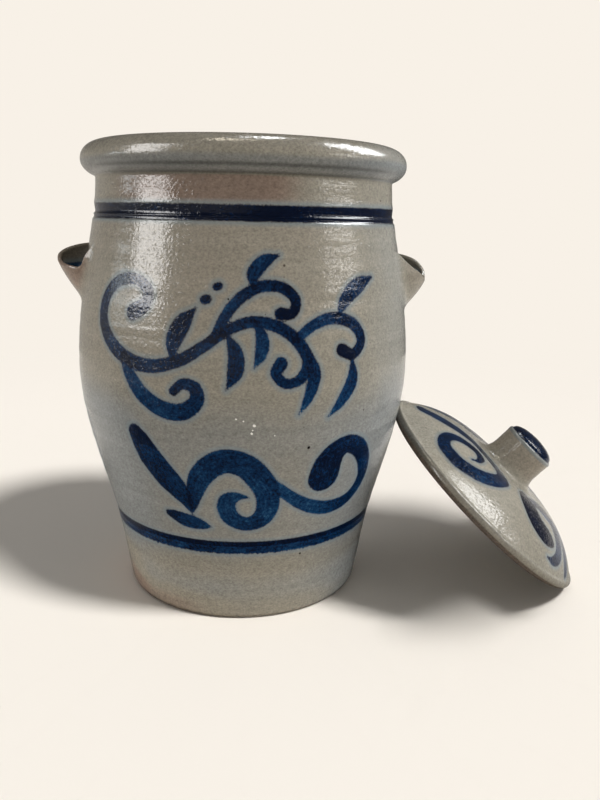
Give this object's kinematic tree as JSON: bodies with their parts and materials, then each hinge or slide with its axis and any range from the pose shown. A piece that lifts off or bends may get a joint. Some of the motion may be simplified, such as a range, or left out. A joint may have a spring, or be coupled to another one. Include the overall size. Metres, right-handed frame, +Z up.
{
  "type": "lidded stoneware crock",
  "caption": "Wheel-thrown stoneware crock with a rolled rim, pocket lugs on its sides and a domed lid with a knob, taken off and leaning on its belly.",
  "frame": {"origin": "centre of the crock's flat foot, on the floor", "axes": "+Z up along the crock's turning axis, painted front towards -Y, lid leaning on the +X side"},
  "size_m": [0.3422, 0.2108, 0.28],
  "materials": {
    "crock_body": "salt glaze, glossy with a fine orange peel",
    "handle_left": "salt glaze, glossy with a fine orange peel",
    "handle_right": "salt glaze, glossy with a fine orange peel",
    "lid": "salt glaze, glossy with a fine orange peel",
    "lid_knob": "salt glaze, glossy with a fine orange peel"
  },
  "bodies": {
    "crock": {"crock_body": "crock_body", "handle_left": "handle_left", "handle_right": "handle_right"},
    "lid": {"lid": "lid", "lid_knob": "lid_knob"}
  },
  "joints": [
    {"name": "lid_lift", "type": "slide", "parent": "crock", "child": "lid", "axis": [0.6568, -0.1277, 0.7431], "range_m": [0, 0.2]}
  ]
}
